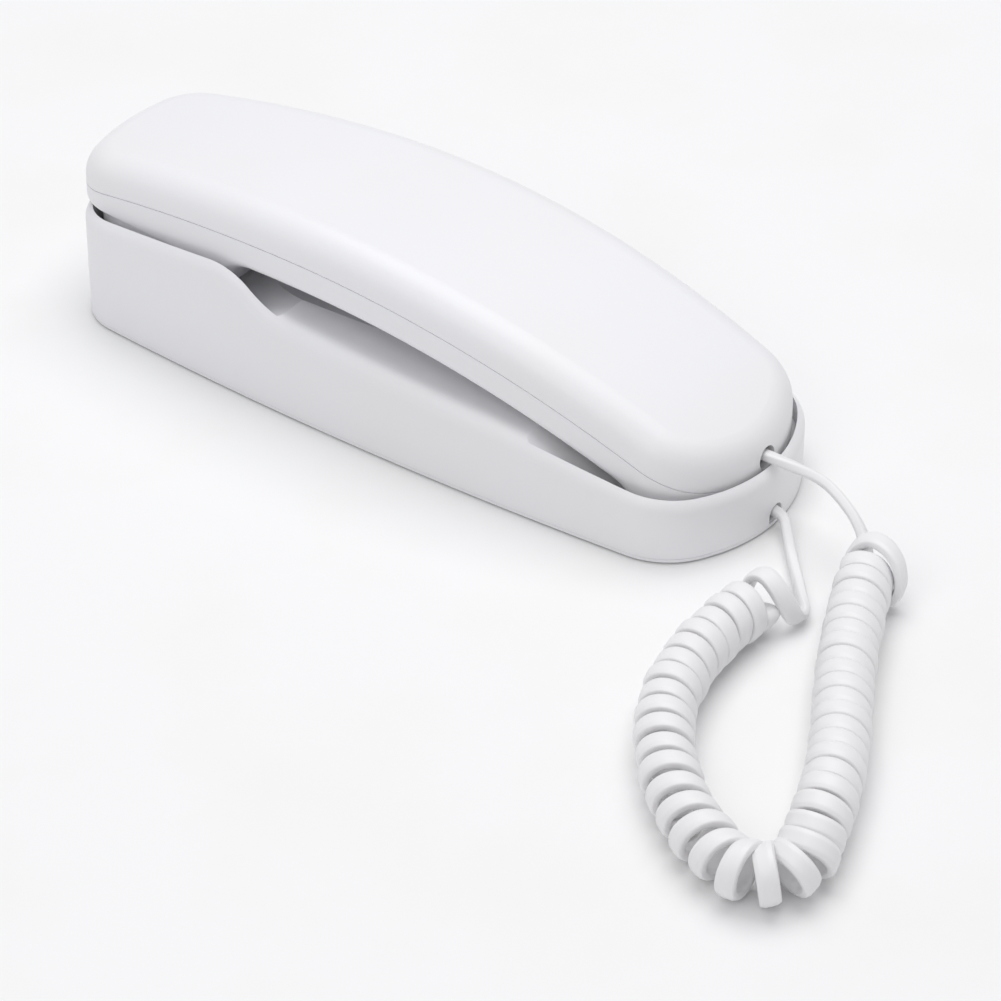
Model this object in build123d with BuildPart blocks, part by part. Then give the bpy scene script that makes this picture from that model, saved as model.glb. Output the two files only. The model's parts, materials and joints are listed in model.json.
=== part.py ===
from build123d import *
from math import pi, radians, sqrt, tan
import os

os.makedirs("parts", exist_ok=True)

# Slimline wall phone: a handset lying face down on its base, and a curly cord.
# Millimetres. X runs along the phone, +X towards the mouth end where the cord is,
# Z is up. The origin is the middle of the phone on the surface it stands on.

# Driving dimensions
BASE_EAR = -103.6
BASE_NOSE = 104.0
BASE_HALVES = (28.5, 34.6, 32.6)
HANDSET_EAR = -105.6
HANDSET_NOSE = 100.9
HANDSET_INSET = 4.2
WALL = 2.2
RIM = 2.0
SHADOW_LINE = 0.3

# Heights of the base, from the surface it stands on
FOOT_HEIGHT = 0.3
PLATE_TOP = 1.3
PLATE_GROOVE = 0.15
PLATE_PAN_TOP = 2.8
EAR_FLOOR = 21.5
MOUTH_FLOOR = 11.3

# Handset, seen from the side: two arcs that meet at the highest point of the seam
PEAK_X = -25.0
PEAK_Z = 45.0
SEAM_EAR_RADIUS = 365.0
SEAM_MOUTH_RADIUS = 276.0
CROWN_HEIGHT = 9.2
HANDLE_DEPTH = 8.5
CUP_BOTTOM = 22.0
CUP_END = -52.5
HANDLE_START = -44.0
HANDLE_END = 76.0
MOUTH_START = 80.0
MOUTH_BOTTOM = 12.0
CROWN_ROUND = 8.6
EDGE_ROUND = 2.6
OVERHANG = 5.2
OVERHANG_Z = 33.7
REACH = 70.0
FAR = 110.0

# Handset fittings
RECEIVER_X = -78.0
RECEIVER_RADIUS = 16.0
MICROPHONE_X = 86.2
HANDSET_SCREWS = ((-56, -19), (-56, 19), (87, -14), (87, 14))
BOARD_SCREWS = ((-31, -22), (-31, 22), (43, -22), (43, 22))
BOARD_SLOPE = -0.085
MAT_THICKNESS = 1.0
BOARD_THICKNESS = 1.6
LIGHT_X = 42.0
LIGHT_RADIUS = 1.4

# Keys: a dial block of three columns and four rows, and one row of four
KEY_TRAVEL = 1.2
KEY_STAND = 1.5
KEY_GAP = 0.35
FLANGE_LIP = 1.05
FLANGE_THICKNESS = 1.1
DIAL_ROWS = (-22, -9, 4, 17)
DIAL_COLUMNS = (14, 0, -14)
DIAL_NAMES = ("1", "2", "3", "4", "5", "6", "7", "8", "9", "star", "0", "hash")
DIAL_SIZE = (7.5, 10.5)
FUNCTION_ROW = 32
FUNCTION_COLUMNS = (16.5, 5.5, -5.5, -16.5)
FUNCTION_NAMES = ("mute", "redial", "flash", "pause")
FUNCTION_SIZE = (5.0, 7.4)

# Base fittings
DECK_UNDERSIDE = EAR_FLOOR - WALL
BASE_SCREWS = ((-66, -22), (-66, 22), (77, -24), (77, 24))
FEET = ((-86, -18), (-86, 18), (84, -19), (84, 19))
FOOT_RADIUS = 4.0
FOOT_RECESS = 0.5
KEYHOLES = (-22, 58)
KEYHOLE_ENTRY = 4.0
KEYHOLE_NECK = 2.1
KEYHOLE_LENGTH = 8.0
PLUNGER_X = -57.0
PLUNGER_RADIUS = 3.0
PLUNGER_TRAVEL = 4.5
FLANGE_Z = 13.0
SPRING_SEAT = 5.0
SPRING_WIRE = 0.5
LEAF_PIVOT_X = -44.0
LEAF_PIVOT_Z = 11.9
TAB_X = -94.6
TAB_WIDTH = 8.0
JACK_X = 46.0
JACK_Z = 12.6
JACK_SOCKET = (9.7, 6.7)
RINGER_X = 12.0
RINGER_Z = 12.0
RINGER_TRAVEL = 2.4

# Curly cord: flat, wound wide side out
CORD_WIDTH = 5.2
CORD_THICKNESS = 2.6
COIL_DIAMETER = 14.6
LEAD_DIAMETER = 3.8
HANDSET_EXIT_Z = 19.5
BASE_EXIT_Z = 4.0


def height_on_arc(x, radius, centre_z):
    """Height at x of a circle of this radius, centred below the seam's peak."""
    return centre_z + sqrt(radius**2 - (x - PEAK_X) ** 2)


def seam_height(x, rise=0.0):
    """Height of the seam at x, or of the arc that lies rise above it."""
    radius = SEAM_EAR_RADIUS if x < PEAK_X else SEAM_MOUTH_RADIUS
    return height_on_arc(x, radius + rise, PEAK_Z - radius)


def moved_bow(bow, half, inset):
    """Rise of an end's arc once the outline is moved in by inset."""
    radius = (half**2 + bow**2) / (2 * bow) - inset
    return radius - sqrt(radius**2 - (half - inset) ** 2)


def rounded_plan(ends, halves, bows, rounds, inset):
    """Plan outline moved in by inset: bowed sides and ends, with round corners.

    ends, bows and rounds are those of the ear end and the mouth end. halves are the
    half-widths at the ear end, the middle and the mouth end.
    """
    ear, nose = ends[0] + inset, ends[1] - inset
    ear_half, mid_half, nose_half = [half - inset for half in halves]
    ear_corner = ear + moved_bow(bows[0], halves[0], inset)
    nose_corner = nose - moved_bow(bows[1], halves[2], inset)
    middle = (ear_corner + nose_corner) / 2
    with BuildSketch() as plan:
        with BuildLine():
            ThreePointArc((ear_corner, -ear_half), (middle, -mid_half), (nose_corner, -nose_half))
            ThreePointArc((nose_corner, -nose_half), (nose, 0), (nose_corner, nose_half))
            ThreePointArc((nose_corner, nose_half), (middle, mid_half), (ear_corner, ear_half))
            ThreePointArc((ear_corner, ear_half), (ear, 0), (ear_corner, -ear_half))
        make_face()
        fillet(vertices().group_by(Axis.X)[0], rounds[0] - inset)
        fillet(vertices().group_by(Axis.X)[-1], rounds[1] - inset)
    return plan.sketch


def base_plan(inset=0.0):
    """The base's outline, moved in by inset."""
    return rounded_plan((BASE_EAR, BASE_NOSE), BASE_HALVES, (6.5, 14.4), (16, 20), inset)


def handset_plan(inset=0.0):
    """The handset's outline, moved in by inset."""
    ends = (HANDSET_EAR, HANDSET_NOSE)
    halves = [half - HANDSET_INSET for half in BASE_HALVES]
    return rounded_plan(ends, halves, (6, 12), (16, 17), inset)


def seam_arcs(rise, start, end):
    """Each arc, as three points, of the curve that lies rise above the seam."""
    for near, far in ((start, min(end, PEAK_X)), (max(start, PEAK_X), end)):
        middle = (near + far) / 2
        ends = ((near, seam_height(near, rise)), (far, seam_height(far, rise)))
        yield ends[0], (middle, seam_height(middle, rise)), ends[1]


def handset_side(inset=0.0):
    """Side view of the handset, moved in by inset: crown, ear cup, handle, mouth cup."""
    under = -HANDLE_DEPTH + inset
    ear_rise = seam_height(HANDLE_START, -HANDLE_DEPTH) - CUP_BOTTOM
    ear_shift = inset * (HANDLE_START - CUP_END - sqrt(ear_rise**2 + (HANDLE_START - CUP_END) ** 2))
    ear_shift /= ear_rise
    mouth_drop = seam_height(HANDLE_END, -HANDLE_DEPTH) - MOUTH_BOTTOM
    mouth_run = MOUTH_START - HANDLE_END
    mouth_shift = inset * (sqrt(mouth_drop**2 + mouth_run**2) - mouth_run) / mouth_drop
    cup_end = CUP_END + ear_shift
    handle_start = HANDLE_START + ear_shift
    handle_end = HANDLE_END + mouth_shift
    mouth_start = MOUTH_START + mouth_shift
    with BuildSketch() as side:
        with BuildLine():
            for arc in seam_arcs(CROWN_HEIGHT - inset, -FAR, FAR):
                ThreePointArc(*arc)
            for arc in seam_arcs(under, handle_start, handle_end):
                ThreePointArc(*arc)
            Polyline(
                (-FAR, seam_height(-FAR, CROWN_HEIGHT - inset)),
                (-FAR, CUP_BOTTOM + inset),
                (cup_end, CUP_BOTTOM + inset),
                (handle_start, seam_height(handle_start, under)),
            )
            Polyline(
                (handle_end, seam_height(handle_end, under)),
                (mouth_start, MOUTH_BOTTOM + inset),
                (FAR, MOUTH_BOTTOM + inset),
                (FAR, seam_height(FAR, CROWN_HEIGHT - inset)),
            )
        make_face()
        corners = (
            (cup_end, 5.0 - inset),
            (handle_start, 9.0 + inset),
            (handle_end, 9.0 + inset),
            (mouth_start, 4.0 - inset),
        )
        for corner_x, radius in corners:
            fillet(vertices().sort_by(lambda v: abs(v.X - corner_x))[0], radius)
    return side.sketch


def above_seam(rise=0.0):
    """Side view of everything above the line that lies rise above the seam."""
    with BuildSketch() as side:
        with BuildLine():
            for arc in seam_arcs(rise, -FAR, FAR):
                ThreePointArc(*arc)
            left = (-FAR, seam_height(-FAR, rise))
            right = (FAR, seam_height(FAR, rise))
            Polyline(left, (-FAR, REACH), (FAR, REACH), right)
        make_face()
    return side.sketch


def handset_form(inset):
    """The handset as one closed form, moved in by inset all round."""
    with BuildPart() as form:
        with BuildSketch(Plane.XY):
            add(handset_plan(inset))
        extrude(amount=REACH)
        with BuildSketch(Plane.XZ):
            add(handset_side(inset))
        extrude(amount=REACH, both=True, mode=Mode.INTERSECT)
        loops = edges().filter_by(Axis.Y, reverse=True).filter_by(Axis.Z, reverse=True)
        crown = loops.filter_by(lambda e: e.center().Z > seam_height(e.center().X))
        fillet(crown, CROWN_ROUND - inset)
        loops = edges().filter_by(Axis.Y, reverse=True).filter_by(Axis.Z, reverse=True)
        under = loops.filter_by(
            lambda e: e.center().Z < seam_height(e.center().X, -HANDLE_DEPTH + inset) + 0.3
        )
        fillet(under, EDGE_ROUND - inset * 0.8)
        # the ear cup stands back under the end of the handset, to drop into the base
        with BuildSketch(Plane.XY):
            with Locations((-FAR + 50, 0)):
                Rectangle(100, 100)
            with Locations((OVERHANG, 0)):
                add(handset_plan(inset), mode=Mode.SUBTRACT)
            with Locations((-FAR + 80 + 45, 0)):
                Rectangle(90, 100, mode=Mode.SUBTRACT)
        extrude(amount=OVERHANG_Z + inset, mode=Mode.SUBTRACT)
    return form.part


def under_height(x):
    """Height of the outer underside of the handle at x."""
    return seam_height(x, -HANDLE_DEPTH)


def mat_height(x):
    """Height of the lower face of the sloping key mat at x."""
    return 41.2 + BOARD_SLOPE * (x - 4)


def sloping_plane(height):
    """Plane parallel to the key mat, height above its lower face."""
    mat_plane = Plane(
        origin=(4, 0, mat_height(4)), x_dir=(1, 0, BOARD_SLOPE), z_dir=(-BOARD_SLOPE, 0, 1)
    )
    return mat_plane.offset(height)


def finish(builder, name):
    """Label a finished sub-part and write its file."""
    builder.part.label = name
    export_step(builder.part, f"parts/{name}.step")


# ---------------------------------------------------------------- handset shells
handset_outside = handset_form(0)
handset_inside = handset_form(WALL)

# shadow line that runs round the handset just above the seam
with BuildPart() as shadow_line:
    with BuildSketch(Plane.XZ):
        add(above_seam())
        add(above_seam(SHADOW_LINE), mode=Mode.SUBTRACT)
    extrude(amount=REACH, both=True)
    with BuildSketch(Plane.XY):
        add(handset_plan(SHADOW_LINE))
    extrude(amount=REACH, mode=Mode.SUBTRACT)


def cord_slot(width, height):
    """Round-ended section of the cord's way out."""
    with BuildSketch() as slot:
        SlotOverall(width, height)
    return slot.sketch


with BuildPart() as handset_outer_shell:
    add(handset_outside)
    with BuildSketch(Plane.XZ):
        add(above_seam())
    extrude(amount=REACH, both=True, mode=Mode.INTERSECT)
    add(handset_inside, mode=Mode.SUBTRACT)
    add(shadow_line.part, mode=Mode.SUBTRACT)
    # posts that the closing screws bite into
    for x, y in HANDSET_SCREWS:
        floor = (CUP_BOTTOM if x < 0 else MOUTH_BOTTOM) + WALL
        top = seam_height(x + 3, CROWN_HEIGHT - WALL) + 0.8
        with BuildSketch(Plane.XY.offset(floor + 0.3)):
            with Locations((x, y)):
                Circle(3.0)
        extrude(amount=top - floor - 0.3)
        with BuildSketch(Plane.XY.offset(floor + 0.3)):
            with Locations((x, y)):
                Circle(1.1)
        extrude(amount=12, mode=Mode.SUBTRACT)
    # the cord leaves through a slot shared by the two shells
    with BuildSketch(Plane.YZ.offset(90)):
        with Locations((0, HANDSET_EXIT_Z - 0.5)):
            add(cord_slot(6.6, 6.0))
    extrude(amount=20, mode=Mode.SUBTRACT)
finish(handset_outer_shell, "handset_outer_shell")

with BuildPart() as handset_inner_shell:
    add(handset_outside)
    with BuildSketch(Plane.XZ):
        add(above_seam())
    extrude(amount=REACH, both=True, mode=Mode.SUBTRACT)
    add(handset_inside, mode=Mode.SUBTRACT)
    # posts that carry the key board
    for x, y in BOARD_SCREWS:
        start = under_height(x) + WALL - 0.6
        with BuildSketch(Plane.XY.offset(start)):
            with Locations((x, y)):
                Circle(2.4)
        extrude(amount=mat_height(x) + MAT_THICKNESS - 0.3 - start)
        with BuildSketch(Plane.XY.offset(mat_height(x) - 3.5)):
            with Locations((x, y)):
                Circle(0.8)
        extrude(amount=6, mode=Mode.SUBTRACT)
    # windows for the keys
    for row in DIAL_ROWS:
        with BuildSketch(Plane.XY.offset(under_height(row) - 3)):
            with Locations(*[(row, column) for column in DIAL_COLUMNS]):
                RectangleRounded(DIAL_SIZE[0] + 2 * KEY_GAP, DIAL_SIZE[1] + 2 * KEY_GAP, 2.6)
        extrude(amount=8, mode=Mode.SUBTRACT)
    with BuildSketch(Plane.XY.offset(under_height(FUNCTION_ROW) - 3)):
        with Locations(*[(FUNCTION_ROW, column) for column in FUNCTION_COLUMNS]):
            RectangleRounded(FUNCTION_SIZE[0] + 2 * KEY_GAP, FUNCTION_SIZE[1] + 2 * KEY_GAP, 2.0)
    extrude(amount=8, mode=Mode.SUBTRACT)
    # light pipe, ear and mouth openings
    with BuildSketch(Plane.XY.offset(under_height(LIGHT_X) - 3)):
        with Locations((LIGHT_X, 0)):
            Circle(LIGHT_RADIUS + 0.1)
    extrude(amount=8, mode=Mode.SUBTRACT)
    with BuildSketch(Plane.XY.offset(CUP_BOTTOM - 1)):
        with Locations((RECEIVER_X, 0)):
            Circle(1.0)
            for ring_radius, count in ((4.2, 6), (8.4, 12)):
                with PolarLocations(ring_radius, count):
                    Circle(1.0)
    extrude(amount=WALL + 2, mode=Mode.SUBTRACT)
    with BuildSketch(Plane.XY.offset(MOUTH_BOTTOM - 1)):
        with Locations((MICROPHONE_X, -3), (MICROPHONE_X, 0), (MICROPHONE_X, 3)):
            SlotOverall(6.0, 1.4)
    extrude(amount=WALL + 2, mode=Mode.SUBTRACT)
    # slot for the hanger tab
    with BuildSketch(Plane.XY.offset(CUP_BOTTOM - 1)):
        with Locations((TAB_X, 0)):
            Rectangle(3.2, TAB_WIDTH + 1.6)
    extrude(amount=WALL + 2, mode=Mode.SUBTRACT)
    # countersunk holes for the closing screws
    for x, y in HANDSET_SCREWS:
        face = CUP_BOTTOM if x < 0 else MOUTH_BOTTOM
        with Locations(Location((x, y, face), (180, 0, 0))):
            CounterSinkHole(radius=1.5, counter_sink_radius=2.8, depth=WALL + 0.4)
    with BuildSketch(Plane.YZ.offset(90)):
        with Locations((0, HANDSET_EXIT_Z - 0.5)):
            add(cord_slot(6.6, 6.0))
    extrude(amount=20, mode=Mode.SUBTRACT)
finish(handset_inner_shell, "handset_inner_shell")


# ---------------------------------------------------------------- handset fittings
def disc_stack(name, x, layers):
    """Round part on the vertical axis at x: layers of (bottom, top, outer, inner) radii."""
    with BuildPart() as stack:
        for bottom, top, outer, inner in layers:
            with BuildSketch(Plane.XY.offset(bottom)):
                with Locations((x, 0)):
                    Circle(outer)
                    if inner:
                        Circle(inner, mode=Mode.SUBTRACT)
            extrude(amount=top - bottom)
    finish(stack, name)


ear_inner = CUP_BOTTOM + WALL
disc_stack("ear_cushion_ring", RECEIVER_X, [(ear_inner, ear_inner + 1, 17, 13)])
disc_stack(
    "earpiece_receiver",
    RECEIVER_X,
    [(ear_inner + 1, ear_inner + 8, RECEIVER_RADIUS, 0), (ear_inner + 8, ear_inner + 10, 9, 0)],
)
mouth_inner = MOUTH_BOTTOM + WALL
disc_stack(
    "microphone_boot",
    MICROPHONE_X,
    [(mouth_inner, mouth_inner + 6.5, 4.0, 3.1)],
)
disc_stack("microphone_capsule", MICROPHONE_X, [(mouth_inner + 0.4, mouth_inner + 6.0, 3.05, 0)])

with BuildPart() as receiver_retainer:
    with BuildSketch(Plane.XY.offset(ear_inner + 8)):
        with Locations((RECEIVER_X, 0)):
            Circle(17.2)
            Rectangle(9, 44)
            Circle(12.5, mode=Mode.SUBTRACT)
    extrude(amount=1.4)
    fillet(edges().filter_by(Axis.Z).group_by(Axis.Y)[0], 3)
    fillet(edges().filter_by(Axis.Z).group_by(Axis.Y)[-1], 3)
finish(receiver_retainer, "receiver_retainer")

with BuildPart() as keypad_mat:
    with BuildSketch(sloping_plane(0)):
        RectangleRounded(68, 38, 3)
    extrude(amount=MAT_THICKNESS)
finish(keypad_mat, "keypad_mat")

with BuildPart() as keypad_board:
    with BuildSketch(sloping_plane(MAT_THICKNESS)):
        with Locations((2, 0)):
            RectangleRounded(80, 50, 2)
        with Locations(*[(x - 4, y) for x, y in BOARD_SCREWS]):
            Circle(1.2, mode=Mode.SUBTRACT)
    extrude(amount=BOARD_THICKNESS)
finish(keypad_board, "keypad_board")

with BuildPart() as board_screws:
    for x, y in BOARD_SCREWS:
        board_top = mat_height(x) + MAT_THICKNESS + BOARD_THICKNESS
        with BuildSketch(Plane.XY.offset(board_top + 0.3)):
            with Locations((x, y)):
                Circle(1.9)
        extrude(amount=1.3)
        with BuildSketch(Plane.XY.offset(board_top - 5)):
            with Locations((x, y)):
                Circle(0.75)
        extrude(amount=5.5)
finish(board_screws, "board_screws")

with BuildPart() as handset_weight:
    with BuildSketch(sloping_plane(MAT_THICKNESS + BOARD_THICKNESS + 1.2)):
        with Locations((-6, 0)):
            RectangleRounded(50, 26, 2)
    extrude(amount=3.4)
    chamfer(edges().group_by(Axis.Z)[-1], 0.6)
finish(handset_weight, "handset_weight")

with BuildPart() as in_use_light:
    with BuildSketch(Plane.XY.offset(under_height(LIGHT_X) - 0.3)):
        with Locations((LIGHT_X, 0)):
            Circle(LIGHT_RADIUS)
    extrude(amount=mat_height(LIGHT_X) + MAT_THICKNESS - under_height(LIGHT_X) + 0.1)
finish(in_use_light, "in_use_light")


def screw_set(name, places, head_radius, shank_radius, head_height, shank_length):
    """Screws pointing up, each with a tapered head flush with its face."""
    with BuildPart() as screws:
        for x, y, face in places:
            with BuildSketch(Plane.XZ.offset(-y)):
                with BuildLine():
                    Polyline(
                        (x, face),
                        (x + head_radius, face),
                        (x + shank_radius, face + head_height),
                        (x + shank_radius, face + shank_length),
                        (x, face + shank_length + 1),
                        close=True,
                    )
                make_face()
            revolve(axis=Axis((x, y, 0), (0, 0, 1)))
        # cross slots in the heads
        for x, y, face in places:
            with BuildSketch(Plane.XY.offset(face)):
                with Locations((x, y)):
                    Rectangle(head_radius * 1.1, 0.6)
                    Rectangle(0.6, head_radius * 1.1)
            extrude(amount=0.6, mode=Mode.SUBTRACT)
    finish(screws, name)


screw_set(
    "handset_screws",
    [(x, y, (CUP_BOTTOM if x < 0 else MOUTH_BOTTOM) + 0.1) for x, y in HANDSET_SCREWS],
    2.6,
    1.05,
    1.6,
    12,
)

with BuildPart() as handset_strain_relief:
    with BuildSketch(Plane.YZ.offset(90.4)):
        with Locations((0, HANDSET_EXIT_Z)):
            RectangleRounded(9, 4.4, 1.5)
    extrude(amount=3.7)
    fillet(edges().group_by(Axis.X)[0], 0.8)
finish(handset_strain_relief, "handset_strain_relief")


# ---------------------------------------------------------------- keys
def key(name, x, y, size, corner):
    """One key: crowned cap below, retaining flange and contact stem above."""
    cap_bottom = under_height(x) - KEY_STAND
    flange = under_height(x) + WALL + 1.0
    with BuildPart() as cap:
        with BuildSketch(Plane.XY.offset(cap_bottom)):
            with Locations((x, y)):
                RectangleRounded(*size, corner)
        extrude(amount=flange - cap_bottom)
        fillet(faces().sort_by(Axis.Z)[0].edges(), 0.6)
        with BuildSketch(Plane.XY.offset(flange)):
            with Locations((x, y)):
                RectangleRounded(size[0] + 2 * FLANGE_LIP, size[1] + 2 * FLANGE_LIP, corner)
        extrude(amount=FLANGE_THICKNESS)
        with BuildSketch(Plane.XY.offset(flange + FLANGE_THICKNESS)):
            with Locations((x, y)):
                Circle(2.0)
        stem_top = mat_height(x) - KEY_TRAVEL - 0.35
        extrude(amount=stem_top - flange - FLANGE_THICKNESS)
    finish(cap, name)


dial_places = [(row, column) for row in DIAL_ROWS for column in DIAL_COLUMNS]
for label, (x, y) in zip(DIAL_NAMES, dial_places):
    key(f"key_{label}", x, y, DIAL_SIZE, 2.3)
for label, y in zip(FUNCTION_NAMES, FUNCTION_COLUMNS):
    key(f"key_{label}", FUNCTION_ROW, y, FUNCTION_SIZE, 1.7)


# ---------------------------------------------------------------- base shell
def side_polygon(points, corners=()):
    """Side view drawn through points, with chosen corners rounded."""
    with BuildSketch() as side:
        with BuildLine():
            Polyline(*points, close=True)
        make_face()
        for corner_x, radius in corners:
            fillet(vertices().sort_by(lambda v: abs(v.X - corner_x))[0], radius)
    return side.sketch


def sunk_well(points, corners):
    """Hollow inside the base's rim, with this side view."""
    with BuildPart() as well:
        with BuildSketch(Plane.XY):
            add(base_plan(RIM))
        extrude(amount=REACH)
        with BuildSketch(Plane.XZ):
            add(side_polygon(points, corners))
        extrude(amount=REACH, both=True, mode=Mode.INTERSECT)
    return well.part


ear_well = sunk_well(
    [(-FAR, EAR_FLOOR), (-50, EAR_FLOOR), (-24, 29.7), (-24, REACH), (-FAR, REACH)], [(-50, 12)]
)
mouth_well = sunk_well(
    [(FAR, MOUTH_FLOOR), (74, MOUTH_FLOOR), (46, 24.2), (46, REACH), (FAR, REACH)], [(74, 3)]
)

with BuildPart() as base_hollow:
    with BuildSketch(Plane.XY):
        add(base_plan(WALL))
    extrude(amount=REACH)
    with BuildSketch(Plane.XZ):
        mouth_underside = MOUTH_FLOOR - WALL
        add(
            side_polygon(
                [
                    (-FAR, 0),
                    (-FAR, DECK_UNDERSIDE),
                    (51.5, DECK_UNDERSIDE),
                    (73.4, mouth_underside),
                    (FAR, mouth_underside),
                    (FAR, 0),
                ]
            )
        )
    extrude(amount=REACH, both=True, mode=Mode.INTERSECT)

with BuildPart() as base_shell:
    with BuildSketch(Plane.XY.offset(PLATE_TOP)):
        add(base_plan())
    extrude(amount=REACH)
    with BuildSketch(Plane.XZ):
        top_line = [
            (-FAR, 0),
            (-FAR, 32.2),
            (-92, 32.9),
            (-43, 38),
            (-30, 28.6),
            (40, 23.6),
            (80, 18.8),
            (FAR, 17.3),
            (FAR, 0),
        ]
        add(side_polygon(top_line, [(-92, 150), (-43, 20), (-30, 28), (40, 150), (80, 120)]))
    extrude(amount=REACH, both=True, mode=Mode.INTERSECT)
    loops = edges().filter_by(Axis.Y, reverse=True).filter_by(Axis.Z, reverse=True)
    fillet(loops.filter_by(lambda e: e.center().Z > 10), 4.0)
    add(ear_well, mode=Mode.SUBTRACT)
    add(mouth_well, mode=Mode.SUBTRACT)
    # shallow trough under the handle
    with BuildSketch(Plane.YZ.offset(-44)):
        with Locations((0, EAR_FLOOR + 38)):
            Circle(38)
    extrude(amount=110, mode=Mode.SUBTRACT)
    add(base_hollow.part, mode=Mode.SUBTRACT)
    # posts for the screws
    for x, y in BASE_SCREWS:
        ceiling = DECK_UNDERSIDE if x < 0 else mouth_underside
        with BuildSketch(Plane.XY.offset(PLATE_PAN_TOP + 0.1)):
            with Locations((x, y)):
                Circle(3.2)
                Circle(1.1, mode=Mode.SUBTRACT)
        extrude(amount=ceiling - PLATE_PAN_TOP + 0.3)
    # hook plunger, hanger tab, ringer switch, line jack and cord openings
    with BuildSketch(Plane.XY.offset(DECK_UNDERSIDE - 1)):
        with Locations((PLUNGER_X, 0)):
            Circle(PLUNGER_RADIUS + 0.25)
        with Locations((TAB_X, 0)):
            Rectangle(2.2, TAB_WIDTH + 0.4)
    extrude(amount=WALL + 2, mode=Mode.SUBTRACT)
    with BuildSketch(Plane.XZ.offset(-20)):
        with Locations((RINGER_X, RINGER_Z)):
            SlotOverall(9.8, 3.4)
        with Locations((JACK_X, JACK_Z)):
            Rectangle(12.2, 9.2)
    extrude(amount=-20, mode=Mode.SUBTRACT)
    with BuildSketch(Plane.YZ.offset(90)):
        with Locations((0, 2.6)):
            RectangleRounded(5.6, 6.8, 2.6)
    extrude(amount=20, mode=Mode.SUBTRACT)
finish(base_shell, "base_shell")

with BuildPart() as base_back_plate:
    with BuildSketch(Plane.XY.offset(FOOT_HEIGHT)):
        add(base_plan(0.1))
    extrude(amount=PLATE_TOP - PLATE_GROOVE - FOOT_HEIGHT)
    with BuildSketch(Plane.XY.offset(PLATE_TOP - PLATE_GROOVE)):
        add(base_plan(0.7))
    extrude(amount=PLATE_GROOVE)
    with BuildSketch(Plane.XY.offset(PLATE_TOP)):
        add(base_plan(WALL + 0.3))
    extrude(amount=PLATE_PAN_TOP - PLATE_TOP)
    # seat of the hook spring
    with BuildSketch(Plane.XY.offset(PLATE_PAN_TOP)):
        with Locations((PLUNGER_X, 0)):
            Circle(4.2)
            Circle(1.8, mode=Mode.SUBTRACT)
    extrude(amount=SPRING_SEAT - PLATE_PAN_TOP)
    # keyholes for hanging on two wall screws, ear end up
    for x in KEYHOLES:
        with BuildSketch(Plane.XY.offset(FOOT_HEIGHT)):
            with Locations((x, 0)):
                Circle(KEYHOLE_ENTRY)
            with Locations((x - KEYHOLE_LENGTH / 2, 0)):
                SlotOverall(KEYHOLE_LENGTH + 2 * KEYHOLE_NECK, 2 * KEYHOLE_NECK)
        extrude(amount=PLATE_PAN_TOP, mode=Mode.SUBTRACT)
    # recesses for the feet and countersunk screw holes
    with BuildSketch(Plane.XY.offset(FOOT_HEIGHT)):
        with Locations(*FEET):
            Circle(FOOT_RADIUS + 0.15)
    extrude(amount=FOOT_RECESS, mode=Mode.SUBTRACT)
    for x, y in BASE_SCREWS:
        with Locations(Location((x, y, FOOT_HEIGHT), (180, 0, 0))):
            CounterSinkHole(radius=1.5, counter_sink_radius=2.8, depth=WALL + 0.4)
    # the cord's way in
    with BuildSketch(Plane.XY.offset(PLATE_TOP)):
        with Locations((BASE_NOSE - 5, 0)):
            Rectangle(10, 6)
    extrude(amount=2, mode=Mode.SUBTRACT)
finish(base_back_plate, "base_back_plate")

with BuildPart() as base_feet:
    with BuildSketch(Plane.XY):
        with Locations(*FEET):
            Circle(FOOT_RADIUS)
    extrude(amount=FOOT_HEIGHT + FOOT_RECESS)
    fillet(edges().group_by(Axis.Z)[0], 0.25)
finish(base_feet, "base_feet")

screw_set("base_screws", [(x, y, FOOT_HEIGHT + 0.1) for x, y in BASE_SCREWS], 2.6, 1.05, 1.6, 7.2)


# ---------------------------------------------------------------- hook switch
with BuildPart() as hook_plunger:
    with BuildSketch(Plane.XZ):
        with BuildLine():
            Polyline(
                (PLUNGER_X, 7.0),
                (PLUNGER_X + 1.3, 7.0),
                (PLUNGER_X + 1.3, FLANGE_Z),
                (PLUNGER_X + 5.0, FLANGE_Z),
                (PLUNGER_X + 5.0, FLANGE_Z + 1.4),
                (PLUNGER_X + PLUNGER_RADIUS, FLANGE_Z + 1.4),
                (PLUNGER_X + PLUNGER_RADIUS, CUP_BOTTOM - 0.95),
                (PLUNGER_X + PLUNGER_RADIUS - 0.9, CUP_BOTTOM - 0.05),
                (PLUNGER_X, CUP_BOTTOM - 0.05),
                close=True,
            )
        make_face()
    revolve(axis=Axis((PLUNGER_X, 0, 0), (0, 0, 1)))
finish(hook_plunger, "hook_plunger")

with BuildPart() as hook_spring:
    coil_height = FLANGE_Z - SPRING_SEAT - SPRING_WIRE - 0.1
    spring_start = SPRING_SEAT + SPRING_WIRE / 2 + 0.05
    with BuildLine():
        spring_line = Helix(
            pitch=coil_height / 5, height=coil_height, radius=2.5, center=(PLUNGER_X, 0, spring_start)
        )
    with BuildSketch(Plane(origin=spring_line @ 0, z_dir=spring_line % 0)):
        Circle(SPRING_WIRE / 2)
    sweep()
finish(hook_spring, "hook_spring")

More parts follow.
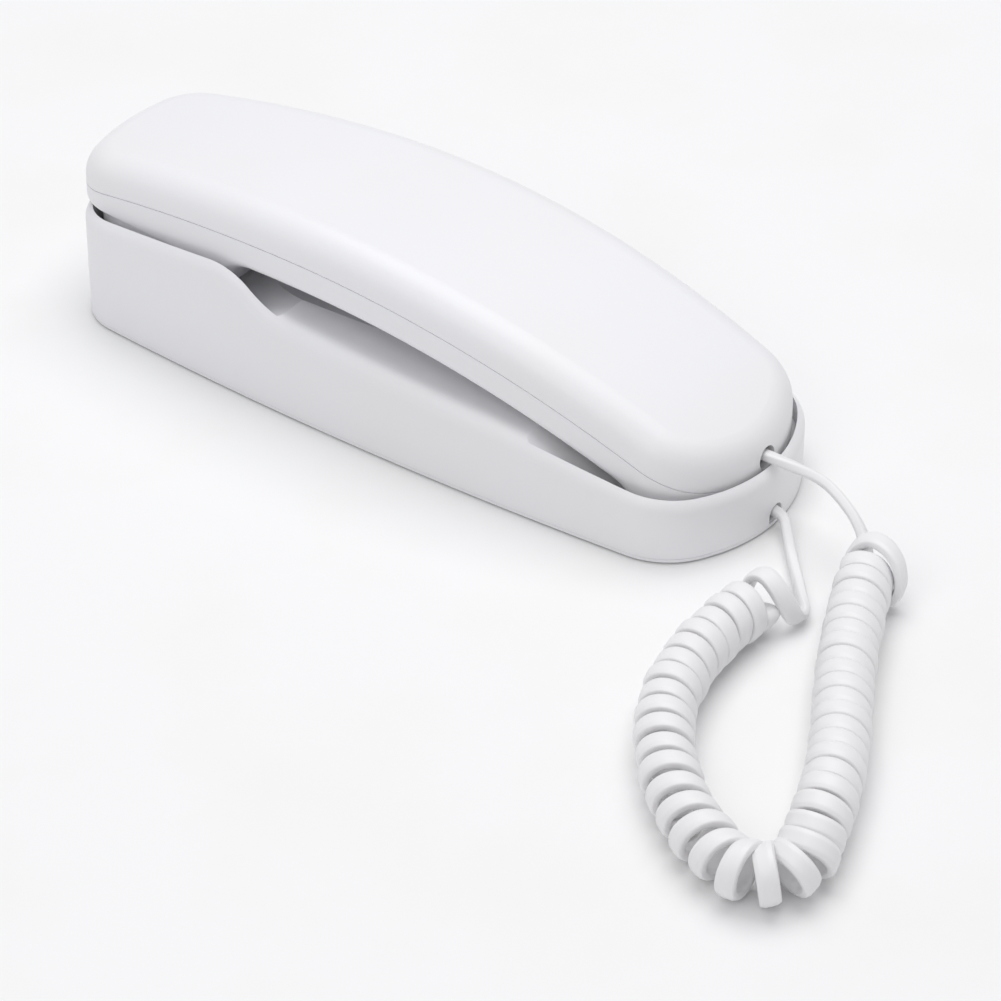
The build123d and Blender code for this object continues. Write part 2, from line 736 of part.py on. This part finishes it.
with BuildPart() as hook_switch:
    with BuildSketch(Plane.XY.offset(PLATE_PAN_TOP)):
        with Locations((LEAF_PIVOT_X - 2, 0)):
            RectangleRounded(11, 6.4, 0.5)
    extrude(amount=8.2)
    # two lugs that hold the leaf
    for side in (-2.5, 1.7):
        with BuildSketch(Plane.XZ.offset(side)):
            with Locations((LEAF_PIVOT_X, LEAF_PIVOT_Z)):
                Circle(0.9)
            with Locations((LEAF_PIVOT_X, LEAF_PIVOT_Z - 0.6)):
                Rectangle(1.8, 1.2)
        extrude(amount=0.8)
finish(hook_switch, "hook_switch")

with BuildPart() as hook_contact_leaf:
    with BuildSketch(Plane.XZ):
        with BuildLine():
            Polyline(
                (LEAF_PIVOT_X + 0.4, LEAF_PIVOT_Z - 0.4),
                (LEAF_PIVOT_X + 0.4, LEAF_PIVOT_Z + 0.4),
                (LEAF_PIVOT_X - 6.0, LEAF_PIVOT_Z + 1.0),
                (LEAF_PIVOT_X - 9.4, LEAF_PIVOT_Z + 1.0),
                (LEAF_PIVOT_X - 9.4, LEAF_PIVOT_Z + 0.7),
                (LEAF_PIVOT_X - 6.0, LEAF_PIVOT_Z + 0.7),
                (LEAF_PIVOT_X - 0.4, LEAF_PIVOT_Z - 0.4),
                close=True,
            )
        make_face()
    extrude(amount=1.5, both=True)
finish(hook_contact_leaf, "hook_contact_leaf")


# ---------------------------------------------------------------- base fittings
with BuildPart() as base_board:
    with BuildSketch(Plane.XY.offset(8)):
        RectangleRounded(70, 44, 2)
    extrude(amount=BOARD_THICKNESS)
    # stand-offs down to the back plate
    with BuildSketch(Plane.XY.offset(PLATE_PAN_TOP)):
        with Locations((-31, -18), (-31, 18), (22, -18), (22, 18)):
            Circle(1.8)
    extrude(amount=8 - PLATE_PAN_TOP)
finish(base_board, "base_board")

with BuildPart() as base_board_components:
    board_face = 8 + BOARD_THICKNESS
    with BuildSketch(Plane.XY.offset(board_face)):
        with Locations((-26, 8), (-26, -8)):
            Circle(3.2)
    extrude(amount=7)
    with BuildSketch(Plane.XY.offset(board_face)):
        with Locations((-4, 10), (-4, 0), (-4, -10)):
            Rectangle(10, 5)
    extrude(amount=3.5)
    with BuildSketch(Plane.XY.offset(board_face)):
        with Locations((20, -8)):
            RectangleRounded(14, 14, 1)
    extrude(amount=8)
finish(base_board_components, "base_board_components")

disc_stack(
    "ringer_disc",
    -84,
    [
        (PLATE_PAN_TOP, PLATE_PAN_TOP + 2.2, 14.5, 13.0),
        (PLATE_PAN_TOP + 1.0, PLATE_PAN_TOP + 1.4, 13.5, 0),
        (PLATE_PAN_TOP + 1.4, PLATE_PAN_TOP + 1.7, 9.0, 0),
    ],
)

with BuildPart() as ringer_switch_body:
    with BuildSketch(Plane.XY.offset(RINGER_Z - 2.4)):
        with Locations((RINGER_X, 27.2)):
            RectangleRounded(15, 5.6, 0.5)
    extrude(amount=4.8)
finish(ringer_switch_body, "ringer_switch_body")

with BuildPart() as ringer_switch_knob:
    with BuildSketch(Plane.XZ.offset(-30.2)):
        with Locations((RINGER_X, RINGER_Z)):
            Rectangle(8, 4.4)
    extrude(amount=-1.4)
    with BuildSketch(Plane.XZ.offset(-31.6)):
        with Locations((RINGER_X, RINGER_Z)):
            SlotOverall(4.6, 2.8)
    extrude(amount=-3.4)
    for ridge in (-1.0, 0, 1.0):
        with BuildSketch(Plane.XZ.offset(-34.5)):
            with Locations((RINGER_X + ridge, RINGER_Z)):
                Rectangle(0.4, 3)
        extrude(amount=-1, mode=Mode.SUBTRACT)
finish(ringer_switch_knob, "ringer_switch_knob")

with BuildPart() as line_jack:
    with BuildSketch(Plane.XZ.offset(-19.5)):
        with Locations((JACK_X, JACK_Z)):
            Rectangle(13, 11.6)
    extrude(amount=-12.2)
    with BuildSketch(Plane.XZ.offset(-31.7)):
        with Locations((JACK_X, JACK_Z)):
            Rectangle(11.6, 8.6)
    extrude(amount=-2.2)
    # socket, its latch notch and six contact slots
    with BuildSketch(Plane.XZ.offset(-22.9)):
        with Locations((JACK_X, JACK_Z)):
            Rectangle(*JACK_SOCKET)
    extrude(amount=-14, mode=Mode.SUBTRACT)
    with BuildSketch(Plane.XZ.offset(-26.9)):
        with Locations((JACK_X, JACK_Z - JACK_SOCKET[1] / 2 - 0.4)):
            Rectangle(3.2, 1.2)
    extrude(amount=-10, mode=Mode.SUBTRACT)
finish(line_jack, "line_jack")

with BuildPart() as hanger_tab:
    with BuildSketch(Plane.XY.offset(DECK_UNDERSIDE - 1.2)):
        with Locations((TAB_X, 0)):
            Rectangle(5, TAB_WIDTH + 3)
    extrude(amount=1.2)
    with BuildSketch(Plane.XY.offset(DECK_UNDERSIDE)):
        with Locations((TAB_X, 0)):
            Rectangle(1.8, TAB_WIDTH)
    extrude(amount=WALL + 2.5)
    fillet(edges().filter_by(Axis.Y).group_by(Axis.Z)[-1], 0.7)
finish(hanger_tab, "hanger_tab")

with BuildPart() as base_strain_relief:
    with BuildSketch(Plane.YZ.offset(92.5)):
        with Locations((0, 5.4)):
            RectangleRounded(9, 5, 1.2)
    extrude(amount=8.8)
    fillet(edges().group_by(Axis.X)[0], 0.8)
finish(base_strain_relief, "base_strain_relief")


# ---------------------------------------------------------------- curly cord
def cord_piece(name, points, diameter):
    """Tube of this diameter along straight runs joined by tangent arcs."""
    places = [Vector(*point) for point in points]
    runs = [b - a for a, b in zip(places, places[1:])]
    radii = []
    for before, after in zip(runs, runs[1:]):
        half_turn = radians(before.get_angle(after)) / 2
        radii.append(0.45 * min(before.length, after.length) / tan(half_turn))
    with BuildPart() as tube:
        with BuildLine():
            route = FilletPolyline(*points, radius=radii)
        with BuildSketch(Plane(origin=route @ 0, z_dir=route % 0)):
            Circle(diameter / 2)
        sweep()
    expected = route.length * pi * diameter**2 / 4
    print(name, "radii", [round(radius, 1) for radius in radii])
    print(name, "volume over section times length", round(tube.part.volume / expected, 4))
    finish(tube, name)


COIL_Z = COIL_DIAMETER / 2 + 0.1
coil_route = [
    (137, -10.1),
    (145.5, -30.1),
    (155, -50.1),
    (166, -69.1),
    (173.5, -84.1),
    (179, -99.1),
    (184.5, -116.1),
    (175.5, -124.6),
    (161, -119.6),
    (147, -110.1),
    (135.5, -97.6),
    (127, -84.1),
    (122.5, -68.6),
    (121, -52.1),
    (122.5, -37.1),
]
cord_piece("cord_coil", [(x, y, COIL_Z) for x, y in coil_route], COIL_DIAMETER)
handset_lead_route = [
    (94.1, 0, HANDSET_EXIT_Z),
    (107, 0, HANDSET_EXIT_Z),
    (117, 0.2, 19.1),
    (125, -3.1, 18.3),
    (132, -7.1, 17.2),
    (138.5, -11.1, 16.8),
]
cord_piece("cord_handset_lead", handset_lead_route, LEAD_DIAMETER)
LEAD_Z = LEAD_DIAMETER / 2 + 0.1
base_lead_route = [
    (101.3, 0, BASE_EXIT_Z),
    (106.5, 0, BASE_EXIT_Z),
    (110, -4.6, LEAD_Z + 0.6),
    (116, -12.6, LEAD_Z),
    (122.5, -20.6, LEAD_Z + 0.3),
    (127.1, -28.6, 4.4),
    (126.2, -37.47, 4.4),
]
cord_piece("cord_base_lead", base_lead_route, LEAD_DIAMETER)
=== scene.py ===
"""Slimline wall phone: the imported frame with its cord, materials, studio and camera."""
import json
from math import cos, pi, radians, sin

import bpy
import numpy as np
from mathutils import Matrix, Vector


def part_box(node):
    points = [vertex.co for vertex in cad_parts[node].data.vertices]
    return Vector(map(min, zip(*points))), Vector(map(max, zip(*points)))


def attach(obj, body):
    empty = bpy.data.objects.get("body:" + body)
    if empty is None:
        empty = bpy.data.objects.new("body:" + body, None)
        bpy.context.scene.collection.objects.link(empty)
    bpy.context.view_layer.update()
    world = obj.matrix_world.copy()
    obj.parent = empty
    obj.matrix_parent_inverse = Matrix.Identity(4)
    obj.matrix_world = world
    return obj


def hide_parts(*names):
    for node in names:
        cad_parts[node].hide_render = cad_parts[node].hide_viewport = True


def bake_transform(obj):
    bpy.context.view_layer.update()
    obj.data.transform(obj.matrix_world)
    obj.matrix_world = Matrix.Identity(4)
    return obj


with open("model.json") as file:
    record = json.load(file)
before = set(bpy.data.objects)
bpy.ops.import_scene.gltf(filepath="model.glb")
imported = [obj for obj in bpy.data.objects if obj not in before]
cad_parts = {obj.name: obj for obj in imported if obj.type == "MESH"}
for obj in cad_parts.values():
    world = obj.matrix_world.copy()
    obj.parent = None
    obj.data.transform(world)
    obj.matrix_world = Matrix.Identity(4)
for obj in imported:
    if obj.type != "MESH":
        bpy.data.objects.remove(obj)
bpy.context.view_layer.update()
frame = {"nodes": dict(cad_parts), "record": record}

nodes = frame["nodes"]
MM = 0.001

# Camera, at the photograph's angle
CAMERA_AZIMUTH = 35.5
CAMERA_ELEVATION = 36.0
CAMERA_PLACE = (0.5623, -0.7608, 0.6505)
CAMERA_LENS = 158.1

# The floor is just under the lowest point of the cord
FLOOR_Z = -0.0003

# Curly cord, in millimetres and degrees
CORD_WIDTH = 5.2
CORD_THICKNESS = 2.6
CORD_RIDGE = 0.07
COIL_RADIUS = 6.0
COIL_UNEVENNESS = 0.22
LEANING_TURNS_WIDER_BY = 0.6
COIL_Z = 7.4
POINTS_PER_TURN = 16

# Raised legends on the keys, in metres
DIGIT_HEIGHT = 0.0046
WORD_HEIGHT = 0.0017
LEGEND_RISE = 0.00012
LEGEND_ROUNDING = 0.00004

# Label on the back plate, in metres
LABEL_CENTRE = (0.018, 0.016)
LABEL_HALF_SIZE = (0.021, 0.009)
LABEL_CORNER = 0.002
LABEL_TOP = 0.00002
LABEL_FACE = -0.00008


# ---------------------------------------------------------------- curly cord
# the coil's axis on the floor, from the handset's lead round the sharp bend to the base's lead
COIL_ROUTE = [
    (137, -10.1),
    (145.5, -30.1),
    (155, -50.1),
    (166, -69.1),
    (173.5, -84.1),
    (179, -99.1),
    (184.5, -116.1),
    (175.5, -124.6),
    (161, -119.6),
    (147, -110.1),
    (135.5, -97.6),
    (127, -84.1),
    (122.5, -68.6),
    (121, -52.1),
    (122.5, -37.1),
]
# (distance along the coil, value): spacing of the turns, their lean back, height of the axis
COIL_SPACING = [
    (0, 5.7),
    (22, 5.25),
    (84, 5.2),
    (92, 6.6),
    (98, 6.0),
    (120, 6.2),
    (130, 7.6),
    (150, 7.4),
    (165, 7.0),
    (190, 6.0),
    (300, 5.8),
]
COIL_LEAN = [(0, 0), (82, 0), (94, -16), (104, -34), (116, -34), (128, -12), (138, 0), (300, 0)]
COIL_HEIGHT = [(0, COIL_Z), (92, COIL_Z), (104, 7.7), (118, 7.7), (132, COIL_Z), (300, COIL_Z)]
# the helix starts and stops this far from the ends of its axis
FIRST_DISTANCE = 4.6
LAST_DISTANCE = 1.6
# points of a turn that come before the helix's first one
FIRST_TURN = 13
# the leads and the odd turn at each end: (place, direction of the cord's width, share of its width)
HANDSET_END = [
    ((94.1, 0, 19.5), (0, -1, 0.1), 0.62),
    ((101, 0, 19.5), (0, -1, 0.1), 0.62),
    ((107, 0, 19.4), (0, -0.9, 0.4), 0.62),
    ((117, 0.2, 18.9), (0, -0.6, 0.8), 0.62),
    ((125, -3.1, 17.6), (-0.1, -0.5, 0.85), 0.62),
    ((131, -5.6, 15.0), (0, -0.6, 0.8), 0.66),
    ((135.0, -8.0, 11.2), (0.1, -0.9, 0.4), 0.74),
    ((137.6, -11.2, 7.0), (0, -1, 0), 0.86),
    ((137.2, -12.6, 3.8), (0.1, -1, 0), 0.94),
    ((133.6, -12.2, 3.2), (0.1, -1, 0), 1),
    ((131.9, -10.8, 7.2), (0.15, -1, 0), 1),
    ((133.2, -9.6, 12.2), (0.25, -1, 0.1), 1),
    ((137.2, -9.0, 15.3), (0.35, -1, 0.1), 1),
    ((142.6, -9.8, 14.9), (0.35, -1, 0), 1),
    ((146.6, -11.0, 11.4), (0.3, -1, 0), 1),
    ((147.9, -12.4, 6.0), (0.3, -1, 0), 1),
    ((145.6, -13.4, 2.2), (0.2, -1, 0), 1),
    ((140.0, -14.0, 1.4), (0.3, -1, 0), 1),
]
BASE_END = [
    ((118.4, -37.2, 3.4), (0, 1, 0), 1),
    ((117.6, -35.6, 5.0), (0, 0.9, 0.5), 1),
    ((117.8, -34.4, 8.4), (0, 1, 0), 1),
    ((119.6, -34.2, 12.2), (0.1, 1, 0), 1),
    ((123.2, -34.8, 13.8), (0.2, 1, 0), 1),
    ((127.2, -35.8, 11.8), (0.3, 1, 0), 1),
    ((129.8, -35.4, 7.8), (0.35, 1, 0), 1),
    ((131.4, -34.4, 3.6), (0.5, 0.8, 0.3), 0.94),
    ((131.2, -30.0, 2.3), (0.6, 0.3, 0.7), 0.84),
    ((128.0, -25.6, 2.3), (0.1, 0.1, 1), 0.74),
    ((122.7, -19.2, 2.4), (0, 0, 1), 0.66),
    ((116, -11.6, 2.3), (0, 0, 1), 0.6),
    ((110, -4.2, 2.8), (0, 0, 1), 0.56),
    ((106.5, 0, 4.0), (0, -0.4, 0.9), 0.56),
    ((101.3, 0, 4.0), (0, -0.4, 0.9), 0.56),
]


def nurbs_line(points, steps):
    """Points along the smooth order 3 spline that has these control points."""
    curve = bpy.data.curves.new("route", "CURVE")
    curve.dimensions = "3D"
    curve.resolution_u = steps
    spline = curve.splines.new("NURBS")
    spline.points.add(len(points) - 1)
    for place, point in zip(spline.points, points):
        place.co = (*point, 1)
    spline.order_u = 3
    spline.use_endpoint_u = True
    holder = bpy.data.objects.new("route", curve)
    bpy.context.scene.collection.objects.link(holder)
    bpy.context.view_layer.update()
    depsgraph = bpy.context.evaluated_depsgraph_get()
    mesh = bpy.data.meshes.new_from_object(holder.evaluated_get(depsgraph))
    line = np.array([vertex.co[:] for vertex in mesh.vertices])
    bpy.data.objects.remove(holder)
    bpy.data.meshes.remove(mesh)
    bpy.data.curves.remove(curve)
    return line


def along(line, distances):
    """Points and unit directions at these distances along a line."""
    steps = np.linalg.norm(np.diff(line, axis=0), axis=1)
    marks = np.concatenate([[0], np.cumsum(steps)])
    places = np.stack([np.interp(distances, marks, line[:, k]) for k in range(3)], axis=1)
    ahead = np.stack([np.interp(distances + 2, marks, line[:, k]) for k in range(3)], axis=1)
    behind = np.stack([np.interp(distances - 2, marks, line[:, k]) for k in range(3)], axis=1)
    heading = ahead - behind
    heading /= np.linalg.norm(heading, axis=1)[:, None]
    return places, heading


def helix_distances(length):
    """Distance along the coil's axis at each point of the helix."""
    marks, spacings = np.array(COIL_SPACING, float).T
    distances = [0.0]
    while distances[-1] < length:
        spacing = np.interp(distances[-1], marks, spacings)
        distances.append(distances[-1] + spacing / POINTS_PER_TURN)
    return np.array(distances[:-1])


def end_points(rows):
    """Control points of a lead, and the direction and share of the cord's width at each."""
    places = [place for place, _, _ in rows]
    widths = [share * np.array(side) / np.linalg.norm(side) for _, side, share in rows]
    return places, widths


def curly_cord():
    """The whole cord: control points and, at each one, the direction and share of its width."""
    axis_line = nurbs_line([(x, y, COIL_Z) for x, y in COIL_ROUTE], 24)
    length = np.linalg.norm(np.diff(axis_line, axis=0), axis=1).sum()
    distances = FIRST_DISTANCE + helix_distances(length - FIRST_DISTANCE - LAST_DISTANCE)
    centres, heading = along(axis_line, distances)
    centres[:, 2] = np.interp(distances, *np.array(COIL_HEIGHT, float).T)
    lean = np.radians(np.interp(distances, *np.array(COIL_LEAN, float).T))[:, None]
    up = np.array([0.0, 0.0, 1.0])
    left = np.cross(up, heading)
    ring_up = np.cos(lean) * up - np.sin(lean) * heading
    ring_axis = np.cos(lean) * heading + np.sin(lean) * up
    steps = np.arange(len(distances))
    turn = (steps + FIRST_TURN) * 2 * pi / POINTS_PER_TURN
    # no two turns of a used cord are wound quite alike
    number = steps // POINTS_PER_TURN
    uneven = COIL_UNEVENNESS * np.sin(number * 2.4)
    radius = COIL_RADIUS + uneven + LEANING_TURNS_WIDER_BY * np.abs(np.sin(lean[:, 0]))
    helix = centres + radius[:, None] * (np.cos(turn)[:, None] * ring_up + np.sin(turn)[:, None] * left)
    handset_places, handset_widths = end_points(HANDSET_END)
    base_places, base_widths = end_points(BASE_END)
    points = handset_places + list(helix) + base_places
    widths = handset_widths + list(ring_axis) + base_widths
    return np.array(points, float), np.array(widths, float)


def flat_section(count):
    """Closed section of the flat cord: (across its width, across its thickness)."""
    section = []
    for step in range(count):
        angle = 2 * pi * step / count
        c, s = cos(angle), sin(angle)
        across = abs(c) ** 0.62 * (1 if c > 0 else -1)
        through = abs(s) ** 0.62 * (1 if s > 0 else -1)
        # shallow ridges along the flat sides, over the cord's cores
        ridge = CORD_RIDGE * cos(4 * pi * across) * min(1, 2.2 * abs(s))
        section.append((CORD_WIDTH / 2 * across, (CORD_THICKNESS / 2 + ridge) * through))
    return section


def swept_mesh(name, line, widths, section):
    """Closed mesh of the section carried along the line, its width held along widths."""
    heading = np.gradient(line, axis=0)
    heading /= np.linalg.norm(heading, axis=1)[:, None]
    share = np.linalg.norm(widths, axis=1)[:, None]
    across = widths - (widths * heading).sum(axis=1)[:, None] * heading
    across /= np.linalg.norm(across, axis=1)[:, None]
    through = np.cross(heading, across)
    rings = [line + a * share * across + b * through for a, b in section]
    vertices = np.stack(rings, axis=1).reshape(-1, 3) * MM
    sides = len(section)
    faces = []
    for ring in range(len(line) - 1):
        for side in range(sides):
            near = ring * sides + side
            beside = ring * sides + (side + 1) % sides
            faces.append((near, beside, beside + sides, near + sides))
    faces.append(tuple(range(sides - 1, -1, -1)))
    faces.append(tuple(range(len(vertices) - sides, len(vertices))))
    mesh = bpy.data.meshes.new(name)
    mesh.from_pydata([tuple(vertex) for vertex in vertices], [], faces)
    mesh.update()
    for polygon in mesh.polygons:
        polygon.use_smooth = True
    return mesh


def add_piece(name, mesh):
    """New object with this mesh, in the scene."""
    piece = bpy.data.objects.new(name, mesh)
    bpy.context.scene.collection.objects.link(piece)
    return piece


control, control_widths = curly_cord()
cord_line = nurbs_line(control, 4)
cord_side = nurbs_line(control + control_widths, 4)
cord_widths = cord_side - cord_line
cord = add_piece("curly_cord", swept_mesh("curly_cord", cord_line, cord_widths, flat_section(36)))
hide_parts("cord_coil", "cord_handset_lead", "cord_base_lead")
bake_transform(cord)


# ---------------------------------------------------------------- materials
def noise(tree, vector, scale, detail=2.0):
    """Noise of this scale over the surface."""
    node = tree.nodes.new("ShaderNodeTexNoise")
    node.inputs["Scale"].default_value = scale
    node.inputs["Detail"].default_value = detail
    tree.links.new(vector, node.inputs["Vector"])
    return node.outputs["Fac"]


def ranged(tree, value, low, high, start=0.3, end=0.7):
    """The value's span from start to end, spread from low to high."""
    node = tree.nodes.new("ShaderNodeMapRange")
    node.inputs["From Min"].default_value = start
    node.inputs["From Max"].default_value = end
    node.inputs["To Min"].default_value = low
    node.inputs["To Max"].default_value = high
    tree.links.new(value, node.inputs["Value"])
    return node.outputs["Result"]


def summed(tree, first, second):
    """The two values added."""
    node = tree.nodes.new("ShaderNodeMath")
    node.operation = "ADD"
    tree.links.new(first, node.inputs[0])
    tree.links.new(second, node.inputs[1])
    return node.outputs["Value"]


def plastic(name, colour, roughness=0.38, bump=0.03, grain=1500.0, soiled=0.05):
    """Moulded plastic: fine grain, uneven gloss, hairline scratches and slight yellowing."""
    material = bpy.data.materials.new(name)
    material.use_nodes = True
    tree = material.node_tree
    shader = tree.nodes["Principled BSDF"]
    shader.inputs["Base Color"].default_value = (*colour, 1)
    shader.inputs["IOR"].default_value = 1.5
    place = tree.nodes.new("ShaderNodeTexCoord").outputs["Object"]
    tint = tree.nodes.new("ShaderNodeMix")
    tint.data_type = "RGBA"
    tint.inputs[6].default_value = (*colour, 1)
    tint.inputs[7].default_value = (colour[0] * 0.9, colour[1] * 0.88, colour[2] * 0.82, 1)
    tree.links.new(ranged(tree, noise(tree, place, 17, 4), 0, soiled * 4, 0.45, 0.8), tint.inputs[0])
    tree.links.new(tint.outputs[2], shader.inputs["Base Color"])
    stretch = tree.nodes.new("ShaderNodeMapping")
    stretch.inputs["Rotation"].default_value = (0.3, 0.2, 0.7)
    stretch.inputs["Scale"].default_value = (30, 900, 900)
    tree.links.new(place, stretch.inputs["Vector"])
    scratches = ranged(tree, noise(tree, stretch.outputs["Vector"], 1.6), 0, 0.09, 0.66, 0.74)
    gloss = ranged(tree, noise(tree, place, 26, 5), roughness - 0.05, roughness + 0.07)
    tree.links.new(summed(tree, gloss, scratches), shader.inputs["Roughness"])
    fine = noise(tree, place, grain, 3)
    waves = ranged(tree, noise(tree, place, 60, 1), 0, 0.6)
    height = tree.nodes.new("ShaderNodeBump")
    height.inputs["Strength"].default_value = bump
    height.inputs["Distance"].default_value = 0.0002
    tree.links.new(summed(tree, fine, waves), height.inputs["Height"])
    tree.links.new(height.outputs["Normal"], shader.inputs["Normal"])
    return material


def metal(name, colour, roughness=0.3):
    """Plated metal: uneven polish, fine scratches and slight tarnish."""
    material = plastic(name, colour, roughness, 0.06, 900, 0.1)
    material.node_tree.nodes["Principled BSDF"].inputs["Metallic"].default_value = 1
    return material


FINISHES = {
    "shell_plastic": plastic("shell_plastic", (0.86, 0.86, 0.88)),
    "key_plastic": plastic("key_plastic", (0.84, 0.84, 0.86), 0.32),
    "cord_vinyl": plastic("cord_vinyl", (0.86, 0.855, 0.865), 0.42, 0.03, 900),
    "plunger_plastic": plastic("plunger_plastic", (0.82, 0.82, 0.83)),
    "capsule_metal": metal("capsule_metal", (0.72, 0.73, 0.75)),
    "soft_rubber": plastic("soft_rubber", (0.03, 0.03, 0.032), 0.7, 0.1, 700),
    "keypad_silicone": plastic("keypad_silicone", (0.3, 0.31, 0.32), 0.6, 0.05),
    "board_laminate": plastic("board_laminate", (0.02, 0.16, 0.07), 0.35),
    "black_plastic": plastic("black_plastic", (0.02, 0.02, 0.022), 0.45),
    "steel": metal("steel", (0.6, 0.61, 0.63)),
    "contact_brass": metal("contact_brass", (0.78, 0.6, 0.28)),
    "light_lens": plastic("light_lens", (0.5, 0.04, 0.03), 0.15),
}
for subpart in frame["record"]["subparts"]:
    mesh = nodes[subpart["node"]].data
    mesh.materials.clear()
    mesh.materials.append(FINISHES[subpart["material_slot"]])
cord.data.materials.append(FINISHES["cord_vinyl"])


# ---------------------------------------------------------------- raised legends on the keys
def legend(word, node, height):
    """Raised figure or word on a key's face, read from below with the ear end up."""
    letters = bpy.data.curves.new("legend", "FONT")
    letters.body = word
    # a capital is about seven tenths of the font's size
    letters.size = height * 1.4
    letters.extrude = LEGEND_RISE
    letters.bevel_depth = LEGEND_ROUNDING
    letters.align_x = "CENTER"
    letters.align_y = "CENTER"
    holder = bpy.data.objects.new("legend", letters)
    bpy.context.scene.collection.objects.link(holder)
    bpy.context.view_layer.update()
    mesh = bpy.data.meshes.new_from_object(holder.evaluated_get(bpy.context.evaluated_depsgraph_get()))
    bpy.data.objects.remove(holder)
    low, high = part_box(node)
    middle = ((low[0] + high[0]) / 2, (low[1] + high[1]) / 2)
    for vertex in mesh.vertices:
        right, ahead, out = vertex.co
        vertex.co = (middle[0] - ahead, middle[1] - right, low[2] - out)
    mesh.name = node + "_legend"
    piece = add_piece(node + "_legend", mesh)
    piece.data.materials.append(FINISHES["black_plastic"])
    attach(piece, node)


SIGNS = {"star": "*", "hash": "#"}
for figure in ("1", "2", "3", "4", "5", "6", "7", "8", "9", "star", "0", "hash"):
    legend(SIGNS.get(figure, figure), "key_" + figure, DIGIT_HEIGHT)
for word in ("mute", "redial", "flash", "pause"):
    legend(word, "key_" + word, WORD_HEIGHT)


def rating_label():
    """Blank paper label on the back plate, between the keyholes."""
    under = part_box("base_back_plate")[0][2]
    outline = []
    for sign_x, sign_y, start in ((1, 1, 0), (-1, 1, 90), (-1, -1, 180), (1, -1, 270)):
        for step in range(7):
            angle = radians(start + 15 * step)
            x = LABEL_CENTRE[0] + sign_x * (LABEL_HALF_SIZE[0] - LABEL_CORNER) + LABEL_CORNER * cos(angle)
            y = LABEL_CENTRE[1] + sign_y * (LABEL_HALF_SIZE[1] - LABEL_CORNER) + LABEL_CORNER * sin(angle)
            outline.append((x, y))
    count = len(outline)
    vertices = [(x, y, under + LABEL_TOP) for x, y in outline]
    vertices += [(x, y, under + LABEL_FACE) for x, y in outline]
    faces = [tuple(range(count)), tuple(range(2 * count - 1, count - 1, -1))]
    for corner in range(count):
        beside = (corner + 1) % count
        faces.append((corner, corner + count, beside + count, beside))
    mesh = bpy.data.meshes.new("rating_label")
    mesh.from_pydata(vertices, [], faces)
    mesh.update()
    piece = add_piece("rating_label", mesh)
    piece.data.materials.append(plastic("label_paper", (0.7, 0.7, 0.68), 0.6, 0.06, 2600, 0.1))
    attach(piece, "base")


rating_label()


# ---------------------------------------------------------------- studio and camera
def studio():
    """Pale floor, soft lights and a pale surround."""
    bpy.ops.mesh.primitive_plane_add(size=12, location=(0, 0, FLOOR_Z))
    floor = bpy.context.object
    floor.name = "floor"
    floor.data.materials.append(plastic("floor_paint", (0.9, 0.9, 0.9), 0.7, 0.01, 200))
    world = bpy.data.worlds.new("surround")
    world.use_nodes = True
    world.node_tree.nodes["Background"].inputs["Color"].default_value = (0.97, 0.97, 1, 1)
    world.node_tree.nodes["Background"].inputs["Strength"].default_value = 0.5
    bpy.context.scene.world = world
    bpy.context.scene.view_settings.view_transform = "Standard"
    lights = [
        ("key_light", (0.1, -1.1, 1.2), 1.0, 4),
        ("top_light", (-0.1, 0.3, 1.5), 1.4, 14),
    ]
    for name, place, size, power in lights:
        data = bpy.data.lights.new(name, "AREA")
        data.shape = "SQUARE"
        data.size = size
        data.energy = power
        lamp = bpy.data.objects.new(name, data)
        lamp.location = place
        lamp.rotation_euler = (-Vector(place)).to_track_quat("-Z", "Y").to_euler()
        bpy.context.scene.collection.objects.link(lamp)


def camera():
    """The camera, where it sees the phone as the photograph does."""
    data = bpy.data.cameras.new("camera")
    data.lens = CAMERA_LENS
    data.sensor_width = 36
    data.clip_end = 20
    holder = bpy.data.objects.new("camera", data)
    holder.location = CAMERA_PLACE
    holder.rotation_euler = (radians(90 - CAMERA_ELEVATION), 0, radians(CAMERA_AZIMUTH))
    bpy.context.scene.collection.objects.link(holder)
    bpy.context.scene.camera = holder


studio()
camera()
